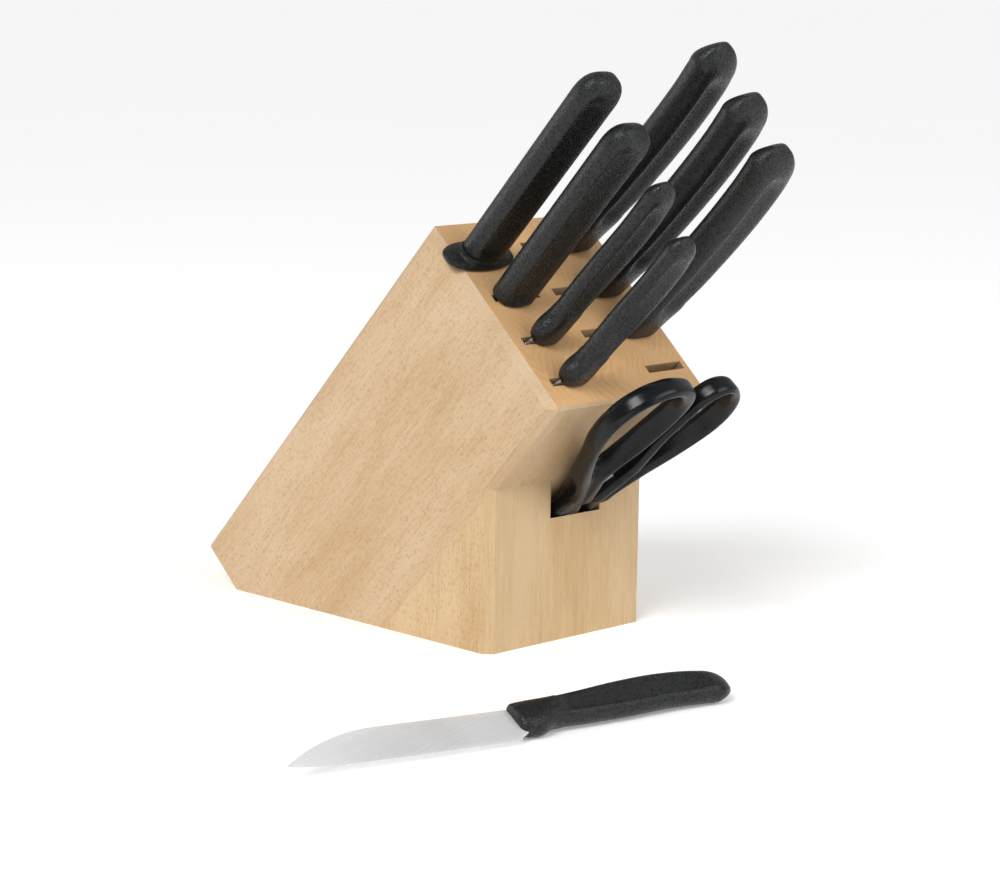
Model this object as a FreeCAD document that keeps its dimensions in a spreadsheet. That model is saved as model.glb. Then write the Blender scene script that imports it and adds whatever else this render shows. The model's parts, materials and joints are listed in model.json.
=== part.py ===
import FreeCAD, Part
import math
import os
import Sketcher

# A slanted beech knife block with its knives, carving fork, sharpening steel and kitchen scissors.
#
# Frame: the origin is the centre of the block's flat base, +X points out of the front of the foot,
# +Y across the block, +Z up. The blades go in along the slope. In the slope's own frame, whose
# origin is the middle of the top face's back edge, local X runs down the top face, local Y across
# the block and local Z out of the slots, towards the handles.

# ---------------------------------------------------------------- driving dimensions, mm and degrees
BLOCK_SIZES = {
    "slope": 47.4,              # angle of the slots above the base
    "body_long": 229.0,         # along the slots, top face to end cut
    "body_thick": 106.0,        # across the slots, back face to underside
    "end_cut": 25.5,            # short square face at the bottom of the back
    "nose": 55.0,               # how far the body overhangs the foot, along the slope
    "wide": 100.0,
    "panel_left": 9.0,          # thickness of the side panels
    "panel_right": 6.5,
    "bevel": 3.5,               # on both sides, round the outline
    "nose_bevel": 1.2,          # along the top face's front edge
    "slot_gap": 4.2,
    "row_a": 15.8,              # middles of the four rows of slots, from the back face
    "row_b": 43.2,
    "row_c": 68.0,
    "row_d": 91.6,
    "small_slot_end": -19.0,    # ends of the slots across the block
    "fork_slot_end": -13.3,
    "large_slot_start": -3.5,
    "spare_slot_start": 20.2,
    "channel_deep": 11.5,       # scissors channel, in the foot under the body
    "channel_left": -12.0,
    "channel_right": 20.0,
    "slack": 0.4,               # air under each handle where it sits on the top face
}

STEEL_SIZES = {
    "steel_down": 19.5,         # place of the steel's bore on the top face
    "steel_across": -34.2,
    "steel_bore": 5.7,
    "rod_radius": 5.0,
    "rod_tip_radius": 1.6,
    "rod_long": 200.0,
    "rod_taper": 16.0,
    "guard_wide": 17.0,         # the steel's oval guard, down the slope
    "guard_thick": 4.2,         # at its middle; it thins towards its rim
}

# Every blade: length below the handle, width at the heel, thickness at the spine, and how far the
# point's curve reaches up the blade. The spine is on the block's right, the edge on its left.
BLADE_SIZES = {
    "bread": {"blade": 206.0, "deep": 30.0, "spine": 2.0, "point": 34.0, "tang": 9.0},
    "carving": {"blade": 190.0, "deep": 30.0, "spine": 2.0, "point": 62.0, "tang": 9.0},
    "chef": {"blade": 160.0, "deep": 39.0, "spine": 2.2, "point": 78.0, "tang": 9.0},
    "table": {"blade": 110.0, "deep": 18.0, "spine": 1.4, "point": 22.0, "tang": 7.0},
    "small": {"blade": 80.0, "deep": 18.0, "spine": 1.4, "point": 36.0, "tang": 7.0},
    "spare": {"blade": 107.0, "deep": 20.0, "spine": 1.4, "point": 46.0, "tang": 7.0},
}

# Every curved handle: length and thickness.
HANDLE_SIZES = {
    "bread": {"grip": 126.0, "fat": 16.0},
    "carving": {"grip": 123.0, "fat": 16.0},
    "chef": {"grip": 117.0, "fat": 16.0},
    "table": {"grip": 98.0, "fat": 11.0},
    "small": {"grip": 90.0, "fat": 11.0},
    "spare": {"grip": 110.0, "fat": 11.5},
}

# Sections of the curved handles from blade to butt: share of the length, reach on the spine side and
# on the edge side in mm from the line of the spine, and share of the thickness.
LARGE_SECTIONS = [
    (0.00, 0.0, -24.0, 0.80), (0.08, 1.5, -25.0, 0.95), (0.16, 4.0, -21.0, 1.00),
    (0.30, 8.0, -17.2, 1.00), (0.55, 11.3, -14.7, 1.00), (0.75, 11.0, -14.5, 1.00),
    (0.88, 8.0, -16.0, 1.00), (0.95, 4.2, -16.4, 0.86), (0.985, -0.5, -16.0, 0.62),
    (1.00, -5.0, -14.6, 0.35),
]
SMALL_SECTIONS = [
    (0.00, 0.5, -13.8, 0.80), (0.04, 0.8, -15.8, 0.92), (0.09, 1.0, -15.6, 0.98),
    (0.16, 1.2, -12.2, 0.98), (0.30, 3.0, -11.9, 1.00), (0.50, 6.3, -11.1, 1.00),
    (0.70, 8.0, -9.2, 1.00), (0.88, 6.5, -8.8, 0.95), (0.96, 3.5, -8.5, 0.75), (1.00, -0.5, -6.5, 0.35),
]

# Sections of the steel's guard from the block up: share of its thickness, half length across the
# block, share of its width.
GUARD_SECTIONS = [(0.00, 19.6, 0.96), (0.25, 20.2, 1.00), (0.50, 19.4, 0.94), (1.00, 13.0, 0.84)]

# Sections of the straight handles: share of the length, half width, share of the thickness.
STRAIGHT_SECTIONS = [
    (0.000, 10.6, 0.95), (0.200, 10.6, 1.00), (0.600, 11.2, 1.00), (0.880, 11.6, 1.00),
    (0.950, 9.5, 0.90), (0.985, 5.5, 0.70), (1.000, 2.8, 0.35),
]

# Where each stored knife stands: its row, and its spine's place across the block.
KNIFE_PLACES = {
    "bread": ("bread_knife", "row_a", 38.5),
    "carving": ("carving_knife", "row_b", 38.5),
    "chef": ("chefs_knife", "row_c", 40.2),
    "table": ("table_knife", "row_c", -22.0),
    "small": ("paring_knife", "row_d", -22.0),
}

STRAIGHT_SIZES = {
    "straight_fat": 14.0,       # thickness of the steel's and the fork's handles
    "steel_grip": 108.2,
    "fork_grip": 106.0,
    "fork_across": -30.4,
    "fork_long": 152.0,         # shank and tines together
    "tines_long": 105.0,
    "tine_wide": 4.5,
    "fork_wide": 19.0,
    "fork_neck": 10.0,
    "fork_thick": 2.6,
    "tang_reach": 0.22,         # share of each handle's length that the tang goes into
}

SCISSORS_SIZES = {
    "scissors_lean": 4.0,       # the scissors rest on the channel's lower lip and lean out of it
    "scissors_tilt": 7.0,       # and they lean to the right within the channel
    "scissors_sit": 7.7,        # their middle plane below the body's underside, at the mouth
    "pivot_across": 8.0,
    "pivot_deep": 15.0,         # pivot inside the mouth
    "shear_long": 69.0,         # pivot to points
    "shear_wide": 9.5,
    "shear_thick": 1.3,
    "shear_gap": 0.05,
    "pivot_radius": 2.5,
    "pivot_fit": 0.05,          # running fit of the turning blade on the screw
    "pivot_head": 4.6,
    "pivot_head_thick": 1.4,
    "bow_thick": 10.4,
}

# Outlines of the bows round the pivot in their closed place: across the block, and out towards the
# tips. The left bow takes three fingers, the right one the thumb, and they meet in the middle.
LEFT_BOW = [
    (-13.2, 16.0), (-17.0, 24.5), (-24.3, 35.0), (-34.2, 52.0), (-42.0, 65.5), (-44.6, 79.5),
    (-39.6, 93.5), (-25.5, 103.4), (-9.8, 101.6), (-3.4, 92.5), (-2.2, 77.0), (-4.0, 60.0),
    (-7.5, 48.0), (-8.0, 39.0), (-3.5, 28.0), (-0.5, 20.0), (-0.8, 15.5),
]
LEFT_HOLE = [
    (-14.0, 41.5), (-11.0, 51.0), (-8.0, 65.0), (-7.2, 82.0), (-11.0, 93.0), (-21.0, 98.6),
    (-32.0, 95.5), (-39.8, 86.0), (-40.0, 75.0), (-35.0, 61.0), (-25.0, 46.5), (-18.5, 39.5),
]
RIGHT_BOW = [
    (0.6, 20.0), (3.0, 30.0), (5.8, 41.0), (3.8, 54.0), (2.0, 66.0), (1.8, 80.0), (2.8, 92.0),
    (8.0, 101.3), (17.8, 103.8), (29.2, 97.0), (35.8, 84.3), (35.2, 70.5), (28.4, 55.0),
    (18.6, 38.5), (11.5, 26.2), (6.8, 16.0), (1.2, 15.5),
]
RIGHT_HOLE = [
    (5.6, 70.0), (5.6, 82.0), (7.6, 93.0), (13.0, 99.2), (20.6, 98.0), (27.6, 91.0),
    (31.2, 80.0), (30.0, 69.0), (24.2, 57.4), (15.2, 44.6), (11.2, 44.0), (8.4, 56.0),
]

LOOSE_SIZES = {
    "loose_ahead": 183.0,       # the spare knife on the table: its heel, from the base's centre
    "loose_across": -134.0,
    "loose_turn": 12.0,         # angle of the knife from the block's width
    "loose_roll": 22.0,         # its blade pulls it over onto the rounded edge side of its handle
    "loose_pitch": 1.5,         # and its butt and guard touch the table
}

NEAR = 0.01         # mm within which two points are one

doc = FreeCAD.newDocument("KnifeBlock")
sizes = doc.addObject("Spreadsheet::Sheet", "Sizes")


def fill_sheet():
    tables = [BLOCK_SIZES, STEEL_SIZES, STRAIGHT_SIZES, SCISSORS_SIZES, LOOSE_SIZES]
    for group in (BLADE_SIZES, HANDLE_SIZES):
        for knife, row in group.items():
            tables.append({f"{knife}_{key}": value for key, value in row.items()})
    tables.append({f"{knife}_across": place[2] for knife, place in KNIFE_PLACES.items()})
    line = 0
    for table in tables:
        for alias, value in table.items():
            line += 1
            sizes.set(f"A{line}", alias)
            sizes.set(f"B{line}", str(value))
            sizes.setAlias(f"B{line}", alias)
    doc.recompute()


fill_sheet()


def number(expression):
    """Value of an expression that is written with the sheet's aliases."""
    result = sizes.evalExpression(expression)
    return float(getattr(result, "Value", result))


def cell(name):
    return f"Sizes.{name}"


# The block's outline in the XZ plane. Corners go round from the top face's back edge.
SIN = "sin(Sizes.slope)"
COS = "cos(Sizes.slope)"
BASE = (f"((Sizes.body_thick - Sizes.end_cut) * {SIN}"
        f" + (Sizes.body_long - Sizes.nose) * {COS})")
BACK_FOOT = (f"-{BASE} / 2", "0")
BACK_LOW = (f"-{BASE} / 2 - Sizes.end_cut * {SIN}", f"Sizes.end_cut * {COS}")
TOP_BACK = (f"{BACK_LOW[0]} + Sizes.body_long * {COS}", f"{BACK_LOW[1]} + Sizes.body_long * {SIN}")
TOP_FRONT = (f"{TOP_BACK[0]} + Sizes.body_thick * {SIN}", f"{TOP_BACK[1]} - Sizes.body_thick * {COS}")
THROAT = (f"{BASE} / 2", f"{TOP_FRONT[1]} - Sizes.nose * {SIN}")
FRONT_FOOT = (f"{BASE} / 2", "0")
NOSE = "Sizes.nose_bevel"
BODY_TOE = (f"{BASE} / 2 - ({THROAT[1]}) / tan(Sizes.slope)", "0")

parts = {}          # node name: the document object that holds its final shape


# ---------------------------------------------------------------- helpers
def origin_plane(body, role):
    return [item for item in body.Origin.OriginFeatures if item.Role == role][0]


def new_body(name):
    return doc.addObject("PartDesign::Body", name)


def new_sketch(body, name, role):
    sketch = body.newObject("Sketcher::SketchObject", name)
    sketch.AttachmentSupport = [(origin_plane(body, role), "")]
    sketch.MapMode = "FlatFace"
    return sketch


def bind(item, place, text):
    item.setExpression(place, text)


def arc_between(start, end, radius):
    """Minor arc from start to end. A positive radius bulges to the left of the way there."""
    chord = end - start
    half = chord.Length / 2
    rise = math.sqrt(max(radius * radius - half * half, 0.0))
    left = FreeCAD.Vector(-chord.y, chord.x, 0).normalize()
    side = -1 if radius > 0 else 1
    centre = (start + end) * 0.5 + left * (rise * side)
    first, last = (end, start) if radius > 0 else (start, end)
    angles = [math.atan2(point.y - centre.y, point.x - centre.x) for point in (first, last)]
    circle = Part.Circle(centre, FreeCAD.Vector(0, 0, 1), abs(radius))
    return Part.ArcOfCircle(circle, angles[0], angles[1])


def outline(sketch, corners):
    """Closed outline. A corner is (x, y) or (x, y, radius): with a radius, the way to the next
    corner is an arc, which bulges to the left of the way if the radius is positive."""
    points = [FreeCAD.Vector(number(corner[0]), number(corner[1]), 0) for corner in corners]
    ends = []
    for index, corner in enumerate(corners):
        start, end = points[index], points[(index + 1) % len(points)]
        if len(corner) == 3:
            radius = number(corner[2])
            geo = sketch.addGeometry(arc_between(start, end, radius), False)
            ends.append((geo, 2, 1) if radius > 0 else (geo, 1, 2))
        else:
            geo = sketch.addGeometry(Part.LineSegment(start, end), False)
            ends.append((geo, 1, 2))
    for index, (geo, start, end) in enumerate(ends):
        following = ends[(index + 1) % len(ends)]
        sketch.addConstraint(Sketcher.Constraint("Coincident", geo, end, following[0], following[1]))
    for index, corner in enumerate(corners):
        geo, start, end = ends[index]
        for kind, text, value in (("DistanceX", corner[0], points[index].x),
                                  ("DistanceY", corner[1], points[index].y)):
            which = sketch.addConstraint(Sketcher.Constraint(kind, -1, 1, geo, start, value))
            bind(sketch, f"Constraints[{which}]", text)
        if len(corner) == 3:
            which = sketch.addConstraint(Sketcher.Constraint("Radius", geo, abs(number(corner[2]))))
            bind(sketch, f"Constraints[{which}]", f"abs({corner[2]})")


def circle(sketch, across, up, radius):
    """A circle at (across, up) in the sketch's plane."""
    centre = FreeCAD.Vector(number(across), number(up), 0)
    geo = sketch.addGeometry(Part.Circle(centre, FreeCAD.Vector(0, 0, 1), number(radius)), False)
    for kind, text, value in (("DistanceX", across, centre.x), ("DistanceY", up, centre.y)):
        which = sketch.addConstraint(Sketcher.Constraint(kind, -1, 1, geo, 3, value))
        bind(sketch, f"Constraints[{which}]", text)
    which = sketch.addConstraint(Sketcher.Constraint("Radius", geo, number(radius)))
    bind(sketch, f"Constraints[{which}]", radius)


def pad(body, sketch, name, length, middle=False, back=False):
    feature = body.newObject("PartDesign::Pad", name)
    feature.Profile = sketch
    feature.SideType = "Symmetric" if middle else "One side"
    feature.Reversed = back
    bind(feature, "Length", length)
    sketch.Visibility = False
    doc.recompute()
    return feature


def pocket(body, sketch, name, length, middle=False, back=False):
    """Cuts the sketch out of the body, and stops if it took nothing away."""
    before = body.Shape.Volume
    feature = body.newObject("PartDesign::Pocket", name)
    feature.Profile = sketch
    feature.SideType = "Symmetric" if middle else "One side"
    feature.Reversed = back
    bind(feature, "Length", length)
    doc.recompute()
    if body.Shape.Volume > before - 0.01:
        raise RuntimeError(f"{name} cuts nothing")
    return feature


def place(item, x, y, z):
    """Binds a place in the block's own frame."""
    for axis, text in (("x", x), ("y", y), ("z", z)):
        bind(item, f"Placement.Base.{axis}", text)


def place_on_slope(item, down, across, out):
    """Binds a place in the slope's frame, and turns the item to stand along the slots."""
    item.Placement = FreeCAD.Placement(FreeCAD.Vector(), FreeCAD.Rotation(FreeCAD.Vector(0, 1, 0), 30))
    bind(item, "Placement.Rotation.Angle", "90 - Sizes.slope")
    place(item, f"{TOP_BACK[0]} + ({down}) * {SIN} + ({out}) * {COS}", across,
          f"{TOP_BACK[1]} - ({down}) * {COS} + ({out}) * {SIN}")


def common(name, first, second):
    item = doc.addObject("Part::Common", name)
    item.Base = first
    item.Tool = second
    return item


def cut(name, first, second):
    item = doc.addObject("Part::Cut", name)
    item.Base = first
    item.Tool = second
    return item


def slope_box(name, down, across, length):
    """A box in the slope's frame: two (low, high) pairs and the depth below the top face."""
    box = doc.addObject("Part::Box", name)
    bind(box, "Length", f"({down[1]}) - ({down[0]})")
    bind(box, "Width", f"({across[1]}) - ({across[0]})")
    bind(box, "Height", length)
    place_on_slope(box, down[0], across[0], f"-({length})")
    return box


# ---------------------------------------------------------------- the wooden block
def block_envelope():
    """The glued-up block's outer form, with its outline bevelled on both sides."""
    body = new_body("block_form")
    sketch = new_sketch(body, "block_outline", "XZ_Plane")
    outline(sketch, [TOP_BACK, TOP_FRONT, THROAT, FRONT_FOOT, BACK_FOOT, BACK_LOW])
    pad(body, sketch, "block_pad", cell("wide"), middle=True)
    half = number("Sizes.wide / 2")

    def on_side(edge):
        first, last = edge.Vertexes[0].Point, edge.Vertexes[-1].Point
        in_side = abs(abs(first.y) - half) < NEAR and abs(first.y - last.y) < NEAR
        on_base = abs(first.z) < NEAR and abs(last.z) < NEAR
        return in_side and not on_base

    base = body.Tip
    names = [f"Edge{i + 1}" for i, edge in enumerate(base.Shape.Edges) if on_side(edge)]
    bevel = body.newObject("PartDesign::Chamfer", "side_bevels")
    bevel.Base = (base, names)
    bind(bevel, "Size", cell("bevel"))
    doc.recompute()
    corner = new_sketch(body, "front_bevel_section", "XZ_Plane")
    outline(corner, [(f"{TOP_FRONT[0]} - {NOSE} * {SIN}", f"{TOP_FRONT[1]} + {NOSE} * {COS}"),
                     (f"{TOP_FRONT[0]} + {NOSE} * ({COS} + {SIN})",
                      f"{TOP_FRONT[1]} + {NOSE} * ({SIN} - {COS})"),
                     (f"{TOP_FRONT[0]} - {NOSE} * {COS}", f"{TOP_FRONT[1]} - {NOSE} * {SIN}")])
    pocket(body, corner, "front_bevel", "Sizes.wide * 2", middle=True)
    return body


def main_prism(name, low, high):
    """The slanted body's outline, without the foot, from low to high across the block."""
    body = new_body(name)
    sketch = new_sketch(body, f"{name}_outline", "XZ_Plane")
    outline(sketch, [TOP_BACK, TOP_FRONT, BODY_TOE, BACK_FOOT, BACK_LOW])
    pad(body, sketch, f"{name}_pad", f"({high}) - ({low})")
    place(body, "0", high, "0")
    return body


def foot_wedge(name, low, high, drop):
    """Part of the foot, from low to high across, whose slanted face lies drop below the body."""
    body = new_body(name)
    sketch = new_sketch(body, f"{name}_outline", "XZ_Plane")
    dropped = f"({THROAT[1]} - ({drop}) / {COS})"
    outline(sketch, [(THROAT[0], dropped), FRONT_FOOT,
                     (f"{BASE} / 2 - {dropped} / tan(Sizes.slope)", "0")])
    pad(body, sketch, f"{name}_pad", f"({high}) - ({low})")
    place(body, "0", high, "0")
    return body


def block():
    form = block_envelope()
    side = "Sizes.wide / 2"
    left = f"(-{side} + Sizes.panel_left)"
    right = f"({side} - Sizes.panel_right)"
    deep = "(Sizes.body_long + Sizes.body_thick)"
    for name, low, high in (("side_panel_left", f"-{side}", left), ("side_panel_right", right, side)):
        parts[name] = common(name, main_prism(f"{name}_blank", low, high), form)

    rows = [cell(f"row_{letter}") for letter in "abcd"]
    half_gap = "Sizes.slot_gap / 2"
    edges = ["0"]
    for row in rows:
        edges += [f"{row} - {half_gap}", f"{row} + {half_gap}"]
    edges.append(cell("body_thick"))
    bore = doc.addObject("Part::Cylinder", "steel_bore_tool")
    bind(bore, "Radius", cell("steel_bore"))
    bind(bore, "Height", deep)
    place_on_slope(bore, cell("steel_down"), cell("steel_across"), f"-{deep}")
    for index in range(5):
        name = f"board_{index + 1}"
        blank = slope_box(f"{name}_blank", (edges[2 * index], edges[2 * index + 1]),
                          (left, right), deep)
        if index == 1:
            blank = cut(f"{name}_bored", blank, bore)
        parts[name] = common(name, blank, form)
    dividers = {
        "divider_1": (left, cell("large_slot_start")),
        "divider_2": (cell("fork_slot_end"), cell("large_slot_start")),
        "divider_3": (cell("small_slot_end"), cell("large_slot_start")),
        "divider_4": (cell("small_slot_end"), cell("spare_slot_start")),
    }
    for index, (name, across) in enumerate(dividers.items()):
        blank = slope_box(f"{name}_blank", (edges[2 * index + 1], edges[2 * index + 2]), across, deep)
        if index == 0:
            blank = cut(f"{name}_bored", blank, bore)
        parts[name] = common(name, blank, form)

    for name, low, high, drop in (
            ("foot_left", f"-{side}", cell("channel_left"), "0"),
            ("foot_centre", cell("channel_left"), cell("channel_right"), cell("channel_deep")),
            ("foot_right", cell("channel_right"), side, "0")):
        parts[name] = common(name, foot_wedge(f"{name}_blank", low, high, drop), form)


# ---------------------------------------------------------------- knives
def stadium(sketch, low, high, radius):
    """A section with round ends: low and high are its ends along the sketch's Y."""
    r = number(radius)
    bottom = FreeCAD.Vector(0, number(low) + r, 0)
    top = FreeCAD.Vector(0, number(high) - r, 0)
    up = FreeCAD.Vector(0, 0, 1)
    side = FreeCAD.Vector(r, 0, 0)
    arcs = [sketch.addGeometry(Part.ArcOfCircle(Part.Circle(top, up, r), 0, math.pi), False),
            sketch.addGeometry(Part.ArcOfCircle(Part.Circle(bottom, up, r), math.pi, 2 * math.pi), False)]
    left = sketch.addGeometry(Part.LineSegment(top - side, bottom - side), False)
    right = sketch.addGeometry(Part.LineSegment(bottom + side, top + side), False)
    for first, end, second, start in ((arcs[0], 2, left, 1), (left, 2, arcs[1], 1),
                                      (arcs[1], 2, right, 1), (right, 2, arcs[0], 1)):
        sketch.addConstraint(Sketcher.Constraint("Tangent", first, end, second, start))
    for arc, text in ((arcs[0], f"({high}) - ({radius})"), (arcs[1], f"({low}) + ({radius})")):
        for kind, place_text in (("DistanceX", "0"), ("DistanceY", text)):
            value = number(place_text)
            which = sketch.addConstraint(Sketcher.Constraint(kind, -1, 1, arc, 3, value))
            bind(sketch, f"Constraints[{which}]", place_text)
        which = sketch.addConstraint(Sketcher.Constraint("Radius", arc, r))
        bind(sketch, f"Constraints[{which}]", radius)


def lofted_form(name, grip, fat, sections, start="0"):
    """A form through round-ended sections: (share of the length, low, high, share of fat)."""
    body = new_body(name)
    sketches = []
    for index, (share, low, high, thick) in enumerate(sections):
        sketch = new_sketch(body, f"{name}_section_{index + 1}", "XY_Plane")
        bind(sketch, "AttachmentOffset.Base.z", f"({start}) + ({grip}) * {share}")
        stadium(sketch, str(low), str(high), f"{fat} * {thick} / 2")
        sketches.append(sketch)
    loft = body.newObject("PartDesign::AdditiveLoft", f"{name}_loft")
    loft.Profile = sketches[0]
    loft.Sections = sketches[1:]
    doc.recompute()
    return body


def curved_handle(name, knife):
    table = LARGE_SECTIONS if knife in ("bread", "carving", "chef") else SMALL_SECTIONS
    sections = [(share, low, high, thick) for share, high, low, thick in table]
    body = lofted_form(name, cell(f"{knife}_grip"), cell(f"{knife}_fat"), sections)
    socket = new_sketch(body, f"{name}_tang_section", "XY_Plane")
    tang_box(socket, knife, table[0][2] / 2)
    pocket(body, socket, f"{name}_tang_hole", f"{cell(f'{knife}_grip')} * Sizes.tang_reach", back=True)
    return body


def tang_box(sketch, knife, middle):
    """The tang's section, centred under the handle."""
    half_wide = f"{cell(f'{knife}_tang')} / 2"
    half_thick = f"{cell(f'{knife}_spine')} / 2"
    rectangle(sketch, (f"-{half_thick}", half_thick), (f"{middle} - {half_wide}", f"{middle} + {half_wide}"))


def rectangle(sketch, across, up):
    outline(sketch, [(across[0], up[0]), (across[1], up[0]), (across[1], up[1]), (across[0], up[1])])


def knife_blade(name, knife):
    """A wedge-section blade below the handle, with a tang inside it."""
    body = new_body(name)
    long, deep, spine, point = (cell(f"{knife}_{key}") for key in ("blade", "deep", "spine", "point"))
    section = new_sketch(body, f"{name}_section", "XY_Plane")
    outline(section, [(f"-{spine} / 2", "0"), (f"-{spine} * 0.12", f"-{deep}"),
                      (f"{spine} * 0.12", f"-{deep}"), (f"{spine} / 2", "0")])
    pad(body, section, f"{name}_pad", long, back=True)
    trim = new_sketch(body, f"{name}_point", "YZ_Plane")
    beyond = f"-{long} - 2"
    turn_up = f"-{long} + {point}"
    if knife in ("carving", "small", "spare"):
        # the spine curves down to a point near the edge
        outline(trim, [("0", turn_up, f"{point} * 1.6"), (f"-{deep} * 0.9", f"-{long}"),
                       (f"-{deep} * 0.9", beyond), ("2", beyond), ("2", turn_up)])
    else:
        # the edge curves up to a point at the spine, or near it on a rounded tip
        tip, bulge = (("0.12", "1.5") if knife == "chef" else ("0.25", "1.1"))
        outline(trim, [(f"-{deep}", turn_up, f"-{point} * {bulge}"), (f"-{deep} * {tip}", f"-{long}"),
                       (f"-{deep} * {tip}", beyond), (f"-{deep} - 2", beyond), (f"-{deep} - 2", turn_up)])
    pocket(body, trim, f"{name}_point_cut", f"{spine} * 2", middle=True)
    table = LARGE_SECTIONS if knife in ("bread", "carving", "chef") else SMALL_SECTIONS
    tang = new_sketch(body, f"{name}_tang_section", "XY_Plane")
    tang_box(tang, knife, table[0][2] / 2)
    pad(body, tang, f"{name}_tang", f"{cell(f'{knife}_grip')} * Sizes.tang_reach")
    return body


def stored_knives():
    for knife, (node, row, across) in KNIFE_PLACES.items():
        for piece, make in (("handle", curved_handle), ("blade", knife_blade)):
            name = f"{node}_{piece}"
            body = make(name, knife)
            place_on_slope(body, cell(row), cell(f"{knife}_across"), cell("slack"))
            parts[name] = body


def loose_knife():
    """The knife of the empty slot, lying on the table in front of the block."""
    turn = math.radians(number(cell("loose_turn")))
    along = FreeCAD.Vector(math.sin(turn), math.cos(turn), 0)
    spine_side = FreeCAD.Vector(-math.cos(turn), math.sin(turn), 0)
    flat = FreeCAD.Rotation(spine_side.cross(along), spine_side, along, "ZYX")
    roll = FreeCAD.Rotation(along, number(cell("loose_roll")))
    pitch = FreeCAD.Rotation(spine_side, number(cell("loose_pitch")))
    lying = pitch.multiply(roll).multiply(flat)
    rest = 0
    for piece, make in (("handle", curved_handle), ("blade", knife_blade)):
        name = f"spare_knife_{piece}"
        body = make(name, "spare")
        body.Placement = FreeCAD.Placement(FreeCAD.Vector(), lying)
        rest = min(rest, body.Shape.optimalBoundingBox().ZMin)
        place(body, cell("loose_ahead"), cell("loose_across"), str(-rest))
        parts[name] = body


# ---------------------------------------------------------------- carving fork and sharpening steel
def straight_handle(name, grip, start):
    sections = [(share, -half, half, thick) for share, half, thick in STRAIGHT_SECTIONS]
    return lofted_form(name, grip, cell("straight_fat"), sections, start)


def fork():
    handle = straight_handle("fork_handle", cell("fork_grip"), "0")
    tines = new_body("fork_tines")
    half = "Sizes.fork_wide / 2"
    neck = "Sizes.fork_neck / 2"
    inside = f"({half} - Sizes.tine_wide)"
    root = "(-Sizes.fork_long + Sizes.tines_long)"
    tip = "-Sizes.fork_long"
    sketch = new_sketch(tines, "fork_outline", "YZ_Plane")
    outline(sketch, [(neck, "0"), (neck, f"{root} * 0.55"), (half, f"{root} - 8"), (f"{half} - 1", tip),
                     (f"{half} - 2", tip), (inside, f"{root} - 12", f"-{inside} * 1.1"),
                     (f"-{inside}", f"{root} - 12"), (f"-({half} - 2)", tip), (f"-({half} - 1)", tip),
                     (f"-{half}", f"{root} - 8"), (f"-{neck}", f"{root} * 0.55"), (f"-{neck}", "0")])
    pad(tines, sketch, "fork_pad", cell("fork_thick"), middle=True)
    depth = "Sizes.fork_grip * Sizes.tang_reach"
    thick = "Sizes.fork_thick / 2"
    for body, name in ((handle, "fork_tang_hole"), (tines, "fork_tang")):
        section = new_sketch(body, f"{name}_section", "XY_Plane")
        rectangle(section, (f"-{thick}", thick), (f"-{neck}", neck))
        if body == handle:
            pocket(body, section, name, depth, back=True)
        else:
            pad(body, section, name, depth)
        place_on_slope(body, cell("row_b"), cell("fork_across"), cell("slack"))
        parts[body.Name] = body


def turned(body, name, corners):
    """Revolves an outline in the XZ plane round the body's Z axis."""
    sketch = new_sketch(body, f"{name}_section", "XZ_Plane")
    outline(sketch, corners)
    feature = body.newObject("PartDesign::Revolution", name)
    feature.Profile = sketch
    feature.ReferenceAxis = (sketch, ["V_Axis"])
    feature.Angle = 360
    doc.recompute()


def steel():
    """The rod stands in the bore, and its oval guard rests on the top face."""
    start = cell("guard_thick")
    tang_radius = "Sizes.rod_radius * 0.7"
    tang_top = f"{start} + Sizes.steel_grip * Sizes.tang_reach"
    handle = straight_handle("steel_handle", cell("steel_grip"), start)
    socket = new_sketch(handle, "steel_tang_hole_section", "XY_Plane")
    circle(socket, "0", "0", tang_radius)
    pocket(handle, socket, "steel_tang_hole", tang_top, back=True)

    sections = [(share, -half, half, wide) for share, half, wide in GUARD_SECTIONS]
    guard = lofted_form("steel_guard", start, cell("guard_wide"), sections)
    bore = new_sketch(guard, "guard_bore_section", "XY_Plane")
    circle(bore, "0", "0", tang_radius)
    pocket(guard, bore, "guard_bore", start, back=True)

    rod = new_body("steel_rod")
    turned(rod, "rod_turned", [
        ("0", tang_top), ("0", "-Sizes.rod_long"), ("Sizes.rod_tip_radius", "-Sizes.rod_long"),
        ("Sizes.rod_radius", "-Sizes.rod_long + Sizes.rod_taper"), ("Sizes.rod_radius", "0"),
        (tang_radius, "0"), (tang_radius, tang_top)])
    for body in (handle, guard, rod):
        place_on_slope(body, cell("steel_down"), cell("steel_across"), cell("slack"))
        parts[body.Name] = body


# ---------------------------------------------------------------- scissors
def place_scissors(item):
    """Scissors frame: origin at the pivot, local Z towards the bows, local Y across."""
    lean = FreeCAD.Rotation(FreeCAD.Vector(0, 1, 0), 90 - number("Sizes.slope - Sizes.scissors_lean"))
    tilt = FreeCAD.Rotation(FreeCAD.Vector(1, 0, 0), -number(cell("scissors_tilt")))
    turn = lean.multiply(tilt)
    out = turn.multVec(FreeCAD.Vector(0, 0, 1))
    mouth = FreeCAD.Vector(number(THROAT[0]), number(cell("pivot_across")),
                           number(f"{THROAT[1]} - Sizes.scissors_sit / {COS}"))
    item.Placement = FreeCAD.Placement(mouth - out * number(cell("pivot_deep")), turn)


def spline_face(points):
    curve = Part.BSplineCurve()
    curve.interpolate(Points=[FreeCAD.Vector(0, across, out) for across, out in points], PeriodicFlag=True)
    return Part.Face(Part.Wire([curve.toShape()]))


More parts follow.
